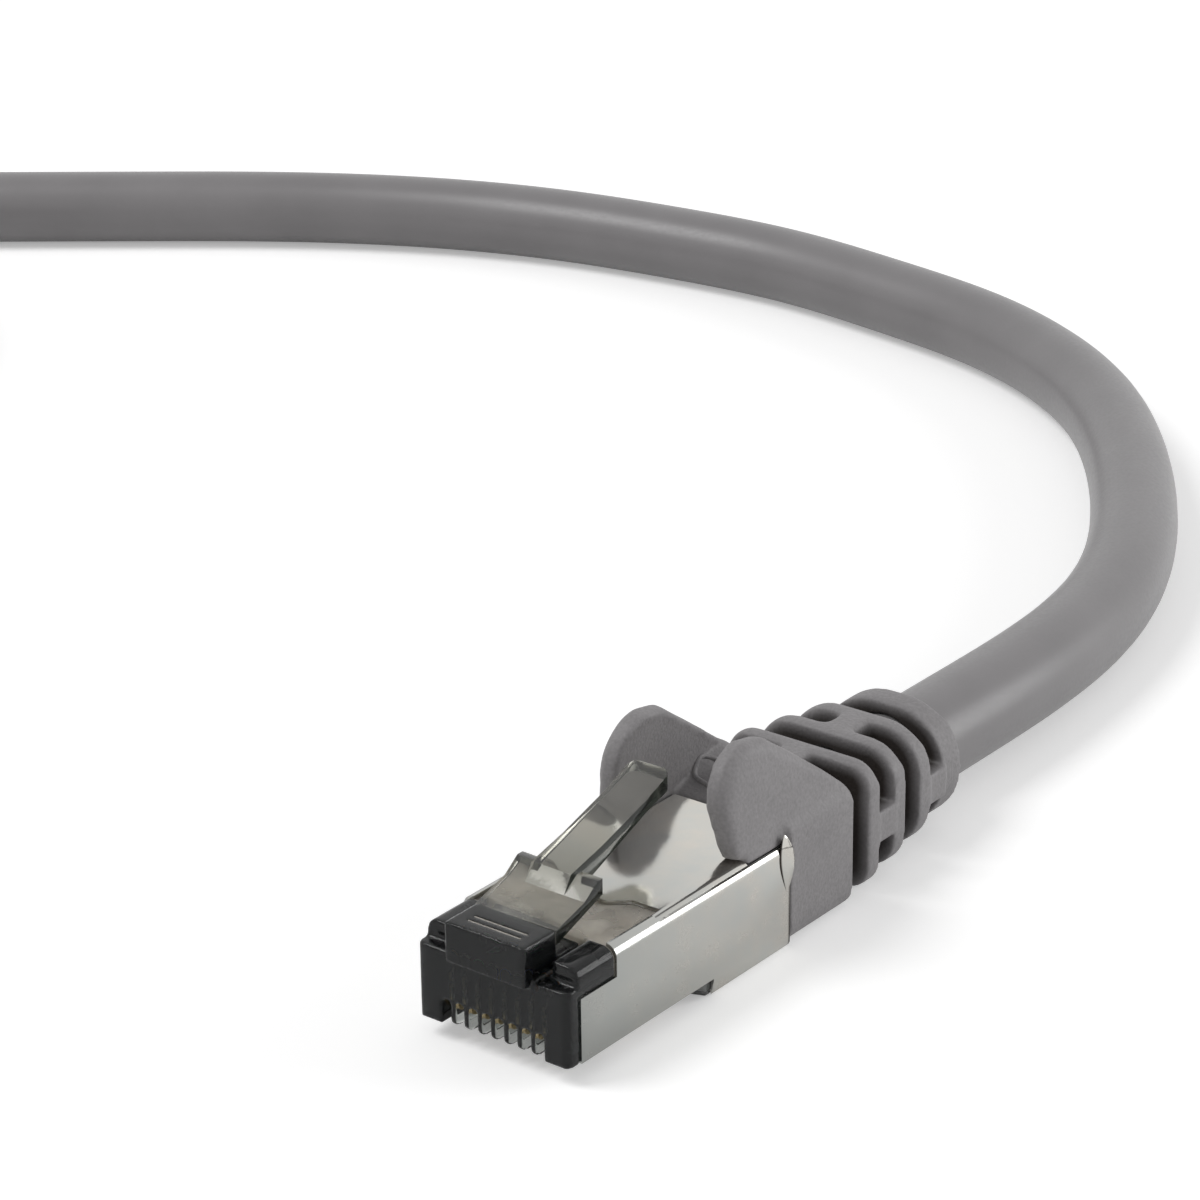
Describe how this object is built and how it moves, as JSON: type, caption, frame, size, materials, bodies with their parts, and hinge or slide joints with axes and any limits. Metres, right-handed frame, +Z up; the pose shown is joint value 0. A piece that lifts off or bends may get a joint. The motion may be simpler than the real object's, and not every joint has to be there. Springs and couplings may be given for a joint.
{
  "type": "ethernet patch cable",
  "caption": "Shielded modular patch cable with latching plugs, moulded boots whose ears guard the latch, and its spare length wound into a tied coil.",
  "frame": {"origin": "on the surface that the cable lies on, under the middle of the near plug and its boot", "axes": "+X from the near plug's nose towards its cord, +Z up, +Y to the side that the cord bends to"},
  "size_m": [0.137, 0.1977, 0.0157],
  "materials": {
    "smoked_plastic": "clear smoked polycarbonate, glossy",
    "latch_plastic": "clear smoked polycarbonate, glossy",
    "white_plastic": "natural polyethylene",
    "tinned_wire": "bright tinned copper",
    "foil": "aluminium foil",
    "nickel_plate": "nickel plated sheet, satin to bright",
    "inner_mould": "hard moulded polyethylene",
    "jacket": "smooth grey PVC jacket, slight sheen",
    "boot_plastic": "fine-textured grey PVC",
    "tie_fabric": "woven hook and loop strap",
    "gold_plate": "gold plated, bright",
    "wire_white": "polyethylene insulation",
    "wire_pale_orange": "polyethylene insulation",
    "wire_orange": "polyethylene insulation",
    "wire_pale_green": "polyethylene insulation",
    "wire_blue": "polyethylene insulation",
    "wire_pale_blue": "polyethylene insulation",
    "wire_green": "polyethylene insulation",
    "wire_pale_brown": "polyethylene insulation",
    "wire_brown": "polyethylene insulation"
  },
  "bodies": {
    "cable": {"plug_housing": "smoked_plastic", "contact_1": "gold_plate", "contact_2": "gold_plate", "contact_3": "gold_plate", "contact_4": "gold_plate", "contact_5": "gold_plate", "contact_6": "gold_plate", "contact_7": "gold_plate", "contact_8": "gold_plate", "load_bar": "white_plastic", "wire_1": "wire_pale_orange", "wire_2": "wire_orange", "wire_3": "wire_pale_green", "wire_4": "wire_blue", "wire_5": "wire_pale_blue", "wire_6": "wire_green", "wire_7": "wire_pale_brown", "wire_8": "wire_brown", "wire_spline": "white_plastic", "drain_wire": "tinned_wire", "foil_screen": "foil", "shield_can": "nickel_plate", "rear_premould": "inner_mould", "jacket_end": "jacket", "boot": "boot_plastic", "cord_lead": "jacket", "cord_coil": "jacket", "coil_tie": "tie_fabric", "cord_tail": "jacket", "far_housing": "smoked_plastic", "far_contacts": "gold_plate", "far_load_bar": "white_plastic", "far_wires": "wire_white", "far_spline": "white_plastic", "far_drain_wire": "tinned_wire", "far_foil_screen": "foil", "far_shield": "nickel_plate", "far_premould": "inner_mould", "far_jacket_end": "jacket", "far_boot": "boot_plastic"},
    "latch": {"latch": "latch_plastic"},
    "far_latch": {"far_latch": "latch_plastic"}
  },
  "joints": [
    {"name": "latch_flex", "type": "hinge", "parent": "cable", "child": "latch", "pos_m": [-0.0188, 0, 0.00813], "axis": [0, 1, 0], "range_deg": [0, 16], "stiffness_Nm_per_rad": 0.02},
    {"name": "far_latch_flex", "type": "hinge", "parent": "cable", "child": "far_latch", "pos_m": [-0.0239, 0.0603, 0.00813], "axis": [-1, 0, 0], "range_deg": [0, 16], "stiffness_Nm_per_rad": 0.02}
  ]
}
